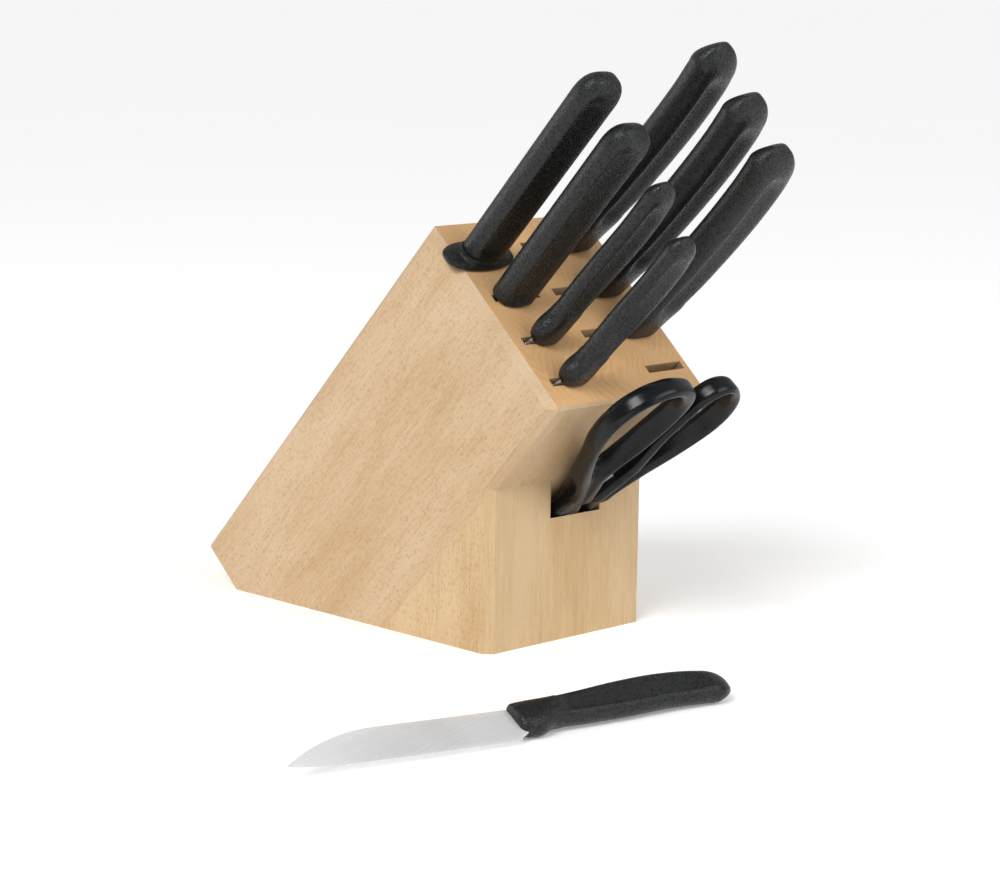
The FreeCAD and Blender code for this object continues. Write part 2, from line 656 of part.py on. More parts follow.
def bow_form(name, outer, hole):
    """A free-form finger ring and its shank, as thick as the sheet says."""
    thick = number(cell("bow_thick"))
    face = spline_face(outer).cut(spline_face(hole))
    face.translate(FreeCAD.Vector(-thick / 2, 0, 0))
    form = doc.addObject("Part::Feature", name)
    form.Shape = face.extrude(FreeCAD.Vector(thick, 0, 0))
    return form


def shear(name, side, hole_radius):
    """A blade that crosses over below the pivot, with its tang up inside the bow. Each blade has
    its own layer: the left bow's blade is the front one."""
    body = new_body(name)
    sketch = new_sketch(body, f"{name}_outline", "YZ_Plane")
    wide = "Sizes.shear_wide"
    across = [("1.2", "34"), ("9.5", "34"), ("8.5", "14"), (f"-{wide} * 0.25", "-12"),
              ("-0.6", "-Sizes.shear_long"), ("-1.8", "-Sizes.shear_long"), (f"-{wide}", "-14"),
              (f"-{wide} * 0.8", "2"), ("1.2", "16")]
    corners = [(f"{side} * ({y})", z) for y, z in across]
    outline(sketch, corners)
    bind(sketch, "AttachmentOffset.Base.z", f"-{side} * Sizes.shear_gap / 2")
    pad(body, sketch, f"{name}_pad", cell("shear_thick"), back=side > 0)
    hole = new_sketch(body, f"{name}_hole_outline", "YZ_Plane")
    circle(hole, "0", "0", hole_radius)
    pocket(body, hole, f"{name}_hole", "Sizes.shear_thick * 4", middle=True)
    return body


def disc(body, name, radius, low, high, hole=None):
    """Adds a round piece along the pivot's axis, from low to high."""
    sketch = new_sketch(body, f"{name}_outline", "YZ_Plane")
    circle(sketch, "0", "0", radius)
    if hole:
        circle(sketch, "0", "0", hole)
    bind(sketch, "AttachmentOffset.Base.z", low)
    pad(body, sketch, f"{name}_pad", f"({high}) - ({low})")


def scissors():
    """The right half carries the screw and its nut, and the left half turns on the screw."""
    radius = cell("pivot_radius")
    fit = cell("pivot_fit")
    halves = {"left": (-1, LEFT_BOW, LEFT_HOLE, f"{radius} + {fit}"),
              "right": (1, RIGHT_BOW, RIGHT_HOLE, radius)}
    for label, (side, outer, hole, hole_radius) in halves.items():
        form = bow_form(f"bow_{label}_form", outer, hole)
        blade = shear(f"scissors_blade_{label}", side, hole_radius)
        for item in (form, blade):
            place_scissors(item)
        parts[f"scissors_bow_{label}"] = cut(f"scissors_bow_{label}", form, blade)
        parts[blade.Name] = blade

    outside = "(Sizes.shear_gap / 2 + Sizes.shear_thick)"
    nut_back = f"(-{outside} - Sizes.pivot_head_thick)"
    seat = f"({outside} + {fit})"
    screw = new_body("scissors_screw")
    disc(screw, "screw_shank", radius, nut_back, seat)
    disc(screw, "screw_head", cell("pivot_head"), seat, f"{seat} + Sizes.pivot_head_thick")
    nut = new_body("scissors_nut")
    disc(nut, "nut", cell("pivot_head"), nut_back, f"-{outside}", radius)
    for body in (screw, nut):
        place_scissors(body)
        parts[body.Name] = body


# ---------------------------------------------------------------- build, check and write
block()
stored_knives()
loose_knife()
fork()
steel()
scissors()
doc.recompute()

for item in doc.Objects:
    if "Invalid" in item.State or "Error" in item.State:
        raise RuntimeError(f"{item.Name} failed: {item.State}")
os.makedirs("parts", exist_ok=True)
for node, item in parts.items():
    item.Label = node
    shape = item.Shape
    if shape.isNull() or not shape.isValid() or not shape.Solids:
        raise RuntimeError(f"{node} has no sound solid")
    shape.exportStep(f"parts/{node}.step")
    print(node, len(shape.Solids), round(shape.Volume / 1000, 2), "cm3")
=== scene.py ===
import json
import math

import bmesh
import bpy
from mathutils import Matrix, Vector
from mathutils.kdtree import KDTree


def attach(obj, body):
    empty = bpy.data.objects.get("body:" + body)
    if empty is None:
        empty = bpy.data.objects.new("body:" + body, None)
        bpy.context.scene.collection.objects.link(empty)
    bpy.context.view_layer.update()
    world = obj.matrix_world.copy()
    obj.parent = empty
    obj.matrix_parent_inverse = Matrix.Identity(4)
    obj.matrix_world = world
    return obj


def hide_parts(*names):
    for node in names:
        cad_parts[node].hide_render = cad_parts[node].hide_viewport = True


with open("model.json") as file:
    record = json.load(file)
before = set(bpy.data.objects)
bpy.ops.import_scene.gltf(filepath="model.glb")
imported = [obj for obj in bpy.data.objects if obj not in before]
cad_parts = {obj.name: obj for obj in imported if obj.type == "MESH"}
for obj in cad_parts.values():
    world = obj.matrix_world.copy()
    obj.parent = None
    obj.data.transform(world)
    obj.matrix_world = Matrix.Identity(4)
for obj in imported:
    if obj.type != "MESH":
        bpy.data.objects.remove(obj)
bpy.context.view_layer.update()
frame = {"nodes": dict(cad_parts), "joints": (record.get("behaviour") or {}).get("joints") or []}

# The looks of a beech knife block with its knives, carving fork, sharpening steel and scissors.
# Every place comes from the frame. Shapes are worked out in millimetres in each tool's own frame:
# X through its thickness, Y towards its spine, Z towards its butt.
MM = 0.001
joints = {joint["name"]: joint for joint in frame["joints"]}
OUT = Vector(joints["bread_knife_draw"]["axis"]).normalized()
ACROSS = Vector((0, 1, 0))
DOWN = ACROSS.cross(OUT)
UP = Vector((0, 0, 1))


# ---------------------------------------------------------------- places
def columns(x, y, z):
    return Matrix((x, y, z)).transposed()


def reach(node, direction):
    """Lowest and highest point of a CAD node along a direction, in metres."""
    along = [direction.dot(vertex.co) for vertex in frame["nodes"][node].data.vertices]
    return min(along), max(along)


def span(node, direction):
    """How long a CAD node is along a direction, in millimetres."""
    low, high = reach(node, direction)
    return (high - low) / MM


SLOPE_TURN = columns(DOWN, ACROSS, OUT)

# How the spare knife lies on the table, in degrees: turned, edge down and spine up, and point up.
LOOSE_TURN = 12
LOOSE_ROLL = 22
LOOSE_PITCH = 1.5


def loose_turn():
    """The spare knife's own directions."""
    turn = math.radians(LOOSE_TURN)
    along = Vector((math.sin(turn), math.cos(turn), 0))
    spine = Vector((-math.cos(turn), math.sin(turn), 0))
    flat = columns(spine.cross(along), spine, along)
    roll = Matrix.Rotation(math.radians(LOOSE_ROLL), 3, along)
    pitch = Matrix.Rotation(math.radians(LOOSE_PITCH), 3, spine)
    return pitch @ roll @ flat


def tool_place(handle, blade, turn, on_spine=True):
    """The tool's own frame, which stands where its CAD handle and blade are."""
    thick, spine, out = turn.col
    low, high = reach(blade, spine)
    origin = thick * (sum(reach(blade, thick)) / 2) + out * reach(handle, out)[0]
    origin += spine * (high if on_spine else (low + high) / 2)
    return Matrix.Translation(origin) @ turn.to_4x4()


# ---------------------------------------------------------------- mesh helpers
def finish_mesh(mesh, name, material, body, replaced, place):
    """Turns a mesh into a shown piece that rides on a body."""
    mesh.transform(place @ Matrix.Scale(MM, 4))
    mesh.update()
    mesh.shade_smooth()
    piece = bpy.data.objects.new(name, mesh)
    bpy.context.scene.collection.objects.link(piece)
    mesh.materials.append(material)
    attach(piece, body)
    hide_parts(*replaced)


def rings_mesh(name, rings, sharp_angle=None):
    """A closed skin through rings of points, each end closed by a fan.

    Edges that turn by more than sharp_angle degrees stay sharp."""
    work = bmesh.new()
    rows = [[work.verts.new(point) for point in ring] for ring in rings]
    count = len(rows[0])
    for low, high in zip(rows, rows[1:]):
        for index in range(count):
            following = (index + 1) % count
            work.faces.new((low[index], low[following], high[following], high[index]))
    for row in (rows[0], rows[-1]):
        centre = work.verts.new(sum((vertex.co for vertex in row), Vector()) / count)
        for index in range(count):
            work.faces.new((row[index], row[(index + 1) % count], centre))
    bmesh.ops.recalc_face_normals(work, faces=work.faces)
    mesh = bpy.data.meshes.new(name)
    work.to_mesh(mesh)
    work.free()
    if sharp_angle is not None:
        mesh.set_sharp_from_angle(angle=math.radians(sharp_angle))
    return mesh


def through(points, x):
    """A smooth curve through (x, y) points, read at x. Beyond its ends it stays level."""
    if x <= points[0][0]:
        return points[0][1]
    if x >= points[-1][0]:
        return points[-1][1]

    def slope(start, end):
        return (end[1] - start[1]) / (end[0] - start[0])

    slopes = [slope(points[0], points[1])]
    slopes += [slope(before, after) for before, after in zip(points, points[2:])]
    slopes.append(slope(points[-2], points[-1]))
    index = max(i for i, point in enumerate(points) if point[0] <= x)
    (x0, y0), (x1, y1) = points[index], points[index + 1]
    run = x1 - x0
    t = (x - x0) / run
    return ((2 * t ** 3 - 3 * t ** 2 + 1) * y0 + (t ** 3 - 2 * t ** 2 + t) * run * slopes[index]
            + (3 * t ** 2 - 2 * t ** 3) * y1 + (t ** 3 - t ** 2) * run * slopes[index + 1])


def smooth_step(value):
    value = min(max(value, 0.0), 1.0)
    return value * value * (3 - 2 * value)


def signed_power(value, exponent):
    """The size of a value to a power, with the value's sign."""
    return math.copysign(abs(value) ** exponent, value)


# ---------------------------------------------------------------- materials
class Graph:
    """Builds a material. A value is a number, a tuple or another node's socket."""

    def __init__(self, name):
        self.material = bpy.data.materials.new(name)
        self.material.use_nodes = True
        self.tree = self.material.node_tree
        self.shader = self.tree.nodes["Principled BSDF"]

    def put(self, socket, value):
        if isinstance(value, bpy.types.NodeSocket):
            self.tree.links.new(value, socket)
        else:
            socket.default_value = value

    def node(self, kind, values=None, **settings):
        made = self.tree.nodes.new(f"ShaderNode{kind}")
        for key, value in settings.items():
            setattr(made, key, value)
        for key, value in (values or {}).items():
            self.put(made.inputs[key], value)
        return made

    def math(self, operation, *values):
        return self.node("Math", dict(enumerate(values)), operation=operation).outputs[0]

    def remap(self, value, low, high, to_low=0.0, to_high=1.0):
        """Smooth step from to_low to to_high as value goes from low to high."""
        values = {"Value": value, "From Min": low, "From Max": high,
                  "To Min": to_low, "To Max": to_high}
        return self.node("MapRange", values, interpolation_type="SMOOTHSTEP").outputs[0]

    def mix(self, factor, first, second):
        made = self.node("Mix", data_type="RGBA")
        self.put(made.inputs[0], factor)
        self.put(made.inputs[6], first)
        self.put(made.inputs[7], second)
        return made.outputs[2]

    def dot(self, vector, axis):
        made = self.node("VectorMath", {0: vector, 1: tuple(axis)}, operation="DOT_PRODUCT")
        return made.outputs["Value"]

    def combine(self, x, y, z):
        return self.node("CombineXYZ", {0: x, 1: y, 2: z}).outputs[0]

    def noise(self, vector, scale, detail=2.0, roughness=0.5):
        values = {"Vector": vector, "Scale": scale, "Detail": detail, "Roughness": roughness}
        return self.node("TexNoise", values).outputs[0]

    def place(self):
        return self.node("TexCoord").outputs["Object"]

    def bump(self, height, distance, strength):
        """Raises the surface by height; distance is in metres."""
        values = {"Height": height, "Strength": strength, "Distance": distance}
        self.put(self.shader.inputs["Normal"], self.node("Bump", values).outputs[0])

    def set(self, **values):
        for key, value in values.items():
            self.put(self.shader.inputs[key.replace("_", " ")], value)


def colour(red, green, blue):
    """A shader colour from the 0 to 255 values of a screen."""
    parts = [value / 255 for value in (red, green, blue)]
    return tuple(part / 12.92 if part <= 0.04045 else ((part + 0.055) / 1.055) ** 2.4
                 for part in parts) + (1.0,)


def darker(shade, share):
    """A share of a colour's light."""
    return tuple(part * share for part in shade[:3]) + (1,)


# Cells of the beech's patterns, in mm along and across the grain.
CLOUD_CELL = (90, 22)
STREAK_CELL = (24, 1.1)
FIBRE_CELL = (5.0, 0.35)
FLECK_CELL = (2.9, 0.55)
FIBRE_SHADE = 0.55      # how dark a fibre is, as a share of the deep colour
FLECK_SHOWS = 0.5       # how strongly a ray fleck shows on a broad face
FLECK_OFF_FACE = 0.12   # and how much of that is left on a narrow one
RING_GAP = 3.4          # mm between growth rings
RING_WANDER = 9.0       # how far the rings stray, in rings
WANDER_SCALE = 16.0     # the scales of noises are in cells per metre
PORE_SCALE = 2600.0
FADE_SCALE = 60.0
WOOD_BUMP = 0.08        # mm


def beech(name, grain, face, pale, deep, ring_turn):
    """Steamed beech: fibres and ray flecks along the grain, growth rings on the end grain.

    grain and face are the directions along the fibres and out of the board's broad side, pale and
    deep are its colours, and ring_turn turns the growth rings on the end grain."""
    wood = Graph(name)
    point = wood.place()
    side = grain.cross(face)
    along, across, through_board = (wood.dot(point, axis) for axis in (grain, side, face))

    def stretched(long, wide):
        """Coordinates that count in cells of these millimetres along and across the grain."""
        return wood.combine(*(wood.math("DIVIDE", value, size * MM) for value, size in (
            (along, long), (across, wide), (through_board, wide))))

    cloud = wood.noise(stretched(*CLOUD_CELL), 1.0, detail=3.0, roughness=0.55)
    streak = wood.noise(stretched(*STREAK_CELL), 1.0, detail=4.0, roughness=0.6)
    fibre = wood.noise(stretched(*FIBRE_CELL), 1.0)
    tone = wood.math("ADD", wood.math("MULTIPLY", cloud, 0.9), wood.math("MULTIPLY", streak, 0.5))
    flat = wood.mix(wood.remap(tone, 0.5, 0.95), pale, deep)
    flat = wood.mix(wood.remap(fibre, 0.35, 0.75, 0.0, 0.16), flat, darker(deep, FIBRE_SHADE))

    # ray flecks: about two thirds of the cells have one, and they show on the broad faces
    cells = wood.node("TexVoronoi", {"Vector": stretched(*FLECK_CELL), "Scale": 1.0})
    draw = wood.node("SeparateColor", {0: cells.outputs["Color"]}).outputs[0]
    chosen = wood.remap(draw, 0.26, 0.36)
    fleck = wood.math("MULTIPLY", wood.remap(cells.outputs["Distance"], 0.42, 0.22), chosen)
    normal = wood.node("NewGeometry").outputs["True Normal"]
    broad = wood.math("ABSOLUTE", wood.dot(normal, face))
    fleck = wood.math("MULTIPLY", fleck, wood.remap(broad, 0.6, 0.9, FLECK_OFF_FACE, 1.0))
    flat = wood.mix(wood.math("MULTIPLY", fleck, FLECK_SHOWS), flat, FLECK)

    # end grain: growth rings that come up slowly and stop sharply, and pores
    turn = math.radians(ring_turn)
    ring_place = wood.math("ADD", wood.math("MULTIPLY", across, math.cos(turn)),
                           wood.math("MULTIPLY", through_board, math.sin(turn)))
    wander = wood.noise(point, WANDER_SCALE, detail=4.0, roughness=0.62)
    ring_place = wood.math("ADD", wood.math("DIVIDE", ring_place, RING_GAP * MM),
                           wood.math("MULTIPLY", wander, RING_WANDER))
    ring = wood.math("FRACT", ring_place)
    ring = wood.math("MULTIPLY", wood.remap(ring, 0.0, 0.75), wood.remap(ring, 1.0, 0.86))
    pores = wood.noise(point, PORE_SCALE, detail=1.0)
    fade = wood.remap(wood.noise(point, FADE_SCALE), 0.35, 0.65, 0.04, 0.3)
    ends = wood.mix(wood.math("MULTIPLY", ring, fade), END_PALE, END_DARK)
    ends = wood.mix(wood.remap(pores, 0.5, 0.75, 0.0, 0.35), ends, END_DARK)

    facing = wood.math("ABSOLUTE", wood.dot(normal, grain))
    wood.set(Base_Color=wood.mix(wood.remap(facing, 0.75, 0.9), flat, ends))
    wood.set(Roughness=wood.remap(fibre, 0.3, 0.8, 0.42, 0.6), Specular_IOR_Level=0.35)
    height = wood.math("SUBTRACT", wood.math("MULTIPLY", fibre, 0.35), fleck)
    wood.bump(height, WOOD_BUMP * MM, strength=0.35)
    return wood.material


# The handles' black, and the paler colour of the painted sheen on the pebbles' tops
HANDLE_DARK = (0.001, 0.0012, 0.0012, 1)
HANDLE_PALE = (0.022, 0.0235, 0.0235, 1)
PEBBLE_SCALE = 1300.0
RIPPLE_SCALE = 1700.0
PEBBLE_BUMP = 0.3       # mm
BOW_DARK = (0.004, 0.0045, 0.005, 1)
BOW_PALE = (0.009, 0.010, 0.011, 1)
SKIN_SCALE = 1800.0
WEAR_SCALE = 45.0
SKIN_BUMP = 0.12        # mm


def grained_plastic():
    """Black polypropylene with a fine pebbled grain. Its pebbles' tops are paler and glossier; the
    paler colour there is a painted sheen.
    """
    plastic = Graph("handle_plastic")
    point = plastic.place()
    cells = plastic.node("TexVoronoi", {"Vector": point, "Scale": PEBBLE_SCALE},
                         feature="SMOOTH_F1")
    pebble = plastic.math("MULTIPLY", cells.outputs["Distance"], -0.8)
    ripple = plastic.noise(point, RIPPLE_SCALE, roughness=0.6)
    ripple = plastic.math("MULTIPLY", ripple, 0.7)
    grain = plastic.math("ADD", pebble, ripple)
    # Pale on the pebbles' tops and where the ripple is high: a painted sheen on the pebbles, with
    # some random tone
    pebble_sheen = plastic.remap(grain, -0.25, 0.25)
    plastic.set(Base_Color=plastic.mix(pebble_sheen, HANDLE_DARK, HANDLE_PALE))
    plastic.set(Roughness=plastic.remap(pebble_sheen, 0.0, 1.0, 0.46, 0.25), Specular_IOR_Level=0.32)
    plastic.bump(grain, PEBBLE_BUMP * MM, strength=0.7)
    return plastic.material


def smooth_plastic():
    """The scissors' bows: the same black, with a finer and glossier skin."""
    plastic = Graph("bow_plastic")
    point = plastic.place()
    grain = plastic.noise(point, SKIN_SCALE, detail=1.0)
    wear = plastic.noise(point, WEAR_SCALE)
    plastic.set(Base_Color=plastic.mix(wear, BOW_DARK, BOW_PALE))
    plastic.set(Roughness=plastic.remap(wear, 0.3, 0.7, 0.2, 0.28), Specular_IOR_Level=0.27)
    plastic.bump(grain, SKIN_BUMP * MM, strength=0.3)
    return plastic.material


GRIND_SCALE = 9000.0
SMEAR_SCALE = 40.0
SMEAR_SHADE = 0.93
GRIND_BUMP = 0.01       # mm


def brushed_steel(name, tint, rough, lines, metallic=1.0):
    """Stainless steel with faint grinding lines, one beside the other in the direction lines."""
    metal = Graph(name)
    point = metal.place()
    across = metal.math("MULTIPLY", metal.dot(point, lines), GRIND_SCALE)
    fine = metal.noise(metal.combine(across, 0.0, 0.0), 1.0, detail=3.0, roughness=0.7)
    smear = metal.remap(metal.noise(point, SMEAR_SCALE), 0.3, 0.7)
    metal.set(Base_Color=metal.mix(smear, tint, darker(tint, SMEAR_SHADE)), Metallic=metallic)
    metal.set(Roughness=metal.remap(fine, 0.3, 0.7, rough * 0.95, rough * 1.08))
    metal.bump(fine, GRIND_BUMP * MM, strength=0.01)
    return metal.material


HANDLE_BLACK = grained_plastic()
BOW_BLACK = smooth_plastic()
# The blades' steel has a near-white tint and is only partly metallic, so it shows pale under any
# lamp: a painted reflection of the bright studio
BLADE_STEEL = brushed_steel("blade_steel", (0.985, 0.987, 0.99, 1), rough=0.26, lines=OUT,
                            metallic=0.45)
ROD_STEEL = brushed_steel("rod_steel", (0.58, 0.59, 0.60, 1), rough=0.30, lines=OUT)
PIVOT_STEEL = brushed_steel("pivot_steel", (0.66, 0.67, 0.68, 1), rough=0.22, lines=ACROSS)


# ---------------------------------------------------------------- the wooden block
SIDE_PALE = colour(203, 176, 142)
SIDE_DEEP = colour(188, 156, 115)
FOOT_PALE = colour(206, 178, 138)
FOOT_DEEP = colour(190, 157, 111)
FLECK = colour(150, 108, 70)
END_PALE = colour(216, 174, 124)
END_DARK = colour(178, 130, 78)
PANEL_RINGS = 62        # turn of the growth rings on the side panels and the foot, degrees
BOARD_RINGS = (-38, 24, -30, 35, -26)       # and on each board with its divider


def dress(node, material):
    """Shows a CAD node as it is, in a material."""
    made = frame["nodes"][node]
    made.data.materials.clear()
    made.data.materials.append(material)


def wooden_block():
    panel = beech("beech_panel", OUT, ACROSS, SIDE_PALE, SIDE_DEEP, PANEL_RINGS)
    foot = beech("beech_foot", UP, ACROSS, FOOT_PALE, FOOT_DEEP, PANEL_RINGS)
    for node in ("side_panel_left", "side_panel_right"):
        dress(node, panel)
    for node in ("foot_left", "foot_centre", "foot_right"):
        dress(node, foot)
    for index, turn in enumerate(BOARD_RINGS):
        board = beech(f"beech_board_{index + 1}", OUT, DOWN, SIDE_PALE, SIDE_DEEP, turn)
        dress(f"board_{index + 1}", board)
        if index < len(BOARD_RINGS) - 1:
            dress(f"divider_{index + 1}", board)


wooden_block()


# ---------------------------------------------------------------- handles
# Sections from blade to butt: share of the length, reach on the spine side and on the edge side
# from the line of the spine in mm, and share of the thickness. On a straight handle the reach is
# from its middle.
LARGE = [
    (0.00, 0.0, -24.0, 0.86), (0.08, 1.5, -25.0, 0.95), (0.16, 4.0, -21.0, 1.00),
    (0.30, 8.0, -17.2, 1.00), (0.55, 11.3, -14.7, 1.00), (0.75, 11.0, -14.5, 1.00),
    (0.88, 8.0, -16.0, 1.00), (1.00, 0.0, -16.4, 1.00),
]
SMALL = [
    (0.00, 0.5, -13.8, 0.82), (0.04, 0.8, -15.8, 0.92), (0.09, 1.0, -15.6, 0.98),
    (0.16, 1.2, -12.2, 0.98), (0.30, 3.0, -11.9, 1.00), (0.50, 6.3, -11.1, 1.00),
    (0.70, 8.0, -9.2, 1.00), (0.88, 6.5, -8.8, 1.00), (1.00, 1.0, -7.6, 1.00),
]
STRAIGHT = [
    (0.0, 10.6, -10.6, 0.95), (0.2, 10.6, -10.6, 1.00), (0.6, 11.2, -11.2, 1.00),
    (0.88, 11.6, -11.6, 1.00), (1.0, 11.6, -11.6, 1.00),
]
# dome: where the butt starts to close; cant: how far the butt's cut slopes; hollow: where the
# hollow in the broad faces starts and ends, how deep it is in mm, and where its lowest line runs
# across the face, from -1 at the edge side to 1 at the spine side; collar: where the step above the
# blade is.
STYLES = {
    "large": {"sections": LARGE, "dome": 0.87, "cant": 0.31, "hollow": (0.15, 0.90), "dish": 3.3,
              "line": -0.16, "collar": 0.135},
    "small": {"sections": SMALL, "dome": 0.88, "cant": 0.24, "hollow": (0.19, 0.92), "dish": 2.6,
              "line": -0.46, "collar": 0.165},
    "straight": {"sections": STRAIGHT, "dome": 0.87, "cant": 0.0, "hollow": (0.0, 0.95),
                 "dish": 3.0, "line": -0.52, "collar": 0.0},
}
RING_POINTS = 80
BASE_SHARES = [0.0, 0.0015, 0.004, 0.008, 0.0125]   # rings of the rounded end above the blade
BODY_RINGS = 70
BUTT_RINGS = 26
BUTT_CLOSER = 2.3       # exponent by which the rings get closer towards the butt
EDGE_SQUARE = 2.1       # exponents of the section on the edge side and on the spine side
SPINE_SQUARE = 3.4
BUTT_WIDE = (2.4, 0.42)     # exponents of the curve by which the butt closes across the face
BUTT_THICK = (2.6, 0.5)     # and through the thickness
HOLLOW_WALL = 0.26      # share of the half width over which the hollow falls to its lowest line
HOLLOW_SPINE = 0.90     # where the hollow ends on the spine side
HOLLOW_FADE_BUTT = 14   # mm over which the hollow runs out at the butt
HOLLOW_FADE_BASE = 6    # and above the blade
BASE_ROUND = 1.3        # mm
COLLAR_STEP = 0.45      # mm
COLLAR_RUN = 0.012      # share of the length that the step takes
COLLAR_RISE = 0.05      # share of the length by which the step curves up at the sides


def handle_shares(dome):
    """Shares of the length at which the handle has a ring, closer at its ends."""
    start = BASE_SHARES[-1]
    body = [start + (dome - start) * step / BODY_RINGS for step in range(1, BODY_RINGS + 1)]
    butt = [dome + (1 - dome) * (1 - (1 - step / BUTT_RINGS) ** BUTT_CLOSER)
            for step in range(1, BUTT_RINGS)]
    return BASE_SHARES + body + butt


def hollow_depth(style, grip, z, u, v):
    """Depth of the hollow at a height z, u through the thickness and v across the face."""
    low, high = (share * grip for share in style["hollow"])
    width = HOLLOW_WALL if v < style["line"] else HOLLOW_SPINE - style["line"]
    beyond = (max(0.0, z - high + HOLLOW_FADE_BUTT) / HOLLOW_FADE_BUTT
              + max(0.0, low + HOLLOW_FADE_BASE - z) / HOLLOW_FADE_BASE)
    outside = min(math.hypot((v - style["line"]) / width, beyond), 1.0)
    return style["dish"] * (1 - outside ** 2) ** 2 * u * u


def collar_step(style, share, v):
    """How much thinner than the collar the grip is on each side, at v across the face."""
    if not style["collar"]:
        return 0.0
    return COLLAR_STEP * smooth_step((share - style["collar"] - COLLAR_RISE * v * v) / COLLAR_RUN)


def handle_rings(style, grip, fat):
    """Sections of a handle that is grip long and fat thick, in mm."""
    dome = style["dome"]
    spine_line, edge_line, thick_line = (
        [(row[0], row[column]) for row in style["sections"]] for column in (1, 2, 3))
    dome_wide = through(spine_line, dome) - through(edge_line, dome)
    rings = []
    for share in handle_shares(dome):
        spine, edge = through(spine_line, share), through(edge_line, share)
        middle = (spine + edge) / 2
        half = (spine - edge) / 2
        half_thick = fat * through(thick_line, share) / 2
        closed = max(0.0, (share - dome) / (1 - dome))
        if closed > 0:
            half = dome_wide / 2 * (1 - closed ** BUTT_WIDE[0]) ** BUTT_WIDE[1]
            half_thick *= (1 - closed ** BUTT_THICK[0]) ** BUTT_THICK[1]
        drop = style["cant"] * half * smooth_step(closed)
        z = share * grip
        inset = BASE_ROUND * (1 - math.sqrt(1 - max(0.0, 1 - z / BASE_ROUND) ** 2))
        half -= inset
        half_thick -= inset
        ring = []
        for index in range(RING_POINTS):
            angle = 2 * math.pi * index / RING_POINTS
            c, s = math.cos(angle), math.sin(angle)
            square = EDGE_SQUARE + (SPINE_SQUARE - EDGE_SQUARE) * (c + 1) / 2
            v, u = signed_power(c, 2 / square), signed_power(s, 2 / square)
            x = ((half_thick - collar_step(style, share, v)) * u
                 - math.copysign(hollow_depth(style, grip, z, u, v), u))
            ring.append((x, middle + half * v, z - drop * (1 - v)))
        rings.append(ring)
    return rings


def handle(node, style_name, place, body):
    """The moulded handle that stands in for a CAD handle."""
    thick, grip = (span(node, place.col[axis].xyz) for axis in (0, 2))
    mesh = rings_mesh(f"{node}_moulded", handle_rings(STYLES[style_name], grip, thick))
    finish_mesh(mesh, f"{node}_moulded", HANDLE_BLACK, body, [node], place)


# ---------------------------------------------------------------- blades
# Kind of handle, width at the heel and thickness at the spine in mm, length of the curve at the
# point, whether the spine comes down to the point or the edge goes up to it, and pitch of the
# serrations.
KNIVES = {
    "bread_knife": {"handle": "large", "deep": 30.0, "spine": 2.0, "point": 34.0, "drops": False,
                    "wave": 6.0},
    "carving_knife": {"handle": "large", "deep": 30.0, "spine": 2.0, "point": 62.0, "drops": True,
                      "wave": 0.0},
    "chefs_knife": {"handle": "large", "deep": 39.0, "spine": 2.2, "point": 78.0, "drops": False,
                    "wave": 0.0},
    "table_knife": {"handle": "small", "deep": 18.0, "spine": 1.4, "point": 22.0, "drops": False,
                    "wave": 1.6},
    "paring_knife": {"handle": "small", "deep": 18.0, "spine": 1.4, "point": 36.0, "drops": True,
                     "wave": 0.0},
    "spare_knife": {"handle": "small", "deep": 20.0, "spine": 1.4, "point": 46.0, "drops": True,
                    "wave": 0.0},
}
# How a point closes: the share of the width by which the spine falls and the exponent of its curve,
# then the share by which the edge rises and its exponent.
DROPPING = (0.84, 1.9, 0.15, 4)
ROUND_END = (0.10, 6, 0.80, 2.4)
SWEPT_UP = (0.10, 3, 0.88, 2)
# Half of a blade's section: share of its width from the spine, and share of its half thickness.
BLADE_SIDE = [(0.0, 0.35), (0.012, 0.9), (0.03, 1.0), (0.25, 0.9), (0.55, 0.66), (0.85, 0.36)]
GRIND_TALL = 1.1        # mm of the edge's own grind,
GRIND_FROM = 0.86       # which starts no nearer to the spine than this share of the width,
GRIND_THICK = 0.28      # and with this share of the half thickness
EDGE_THIN = 0.06        # mm
POINT_TALL = 0.12       # mm that are left of the width at the point
POINT_THICK = 0.25      # and share of the thickness
BLADE_TAPER = 0.45      # share of the thickness that the blade loses along its length
WAVE_DEEP = 0.9         # mm
WAVE_FROM = 8           # mm of plain edge at the heel
WAVE_TO = 0.4           # share of the curve at the point that has no serrations
HEEL_CUT = 0.16         # share of the width that is cut away at the heel
HEEL_LONG = 5           # mm
STEP_LONG = 1.2         # mm between the sections, and on a serrated blade
STEP_SERRATED = 0.5
STEP_CLOSER = 1.25      # exponent by which they get closer towards the point
NECK_HIGH = 4.0         # mm of neck inside the handle
NECK_WIDE = 0.7         # share of the blade's width


def blade_sides(shape, down, long):
    """How far from the line of the spine the spine and the edge are, at a place down the blade."""
    deep, point = shape["deep"], shape["point"]
    x = max(0.0, (down - (long - point)) / point)
    closing = DROPPING if shape["drops"] else ROUND_END if shape["wave"] else SWEPT_UP
    fall, fall_power, rise, rise_power = closing
    rising = x ** rise_power
    if not shape["drops"]:
        rising = 1 - math.sqrt(max(0.0, 1 - rising))
    spine = -fall * deep * x ** fall_power
    edge = -deep + rise * deep * rising
    if shape["wave"] and WAVE_FROM < down < long - point * WAVE_TO:
        edge += WAVE_DEEP * abs(math.sin(math.pi * down / shape["wave"]))
    edge += HEEL_CUT * deep * (1 - smooth_step(down / HEEL_LONG))
    return spine, edge


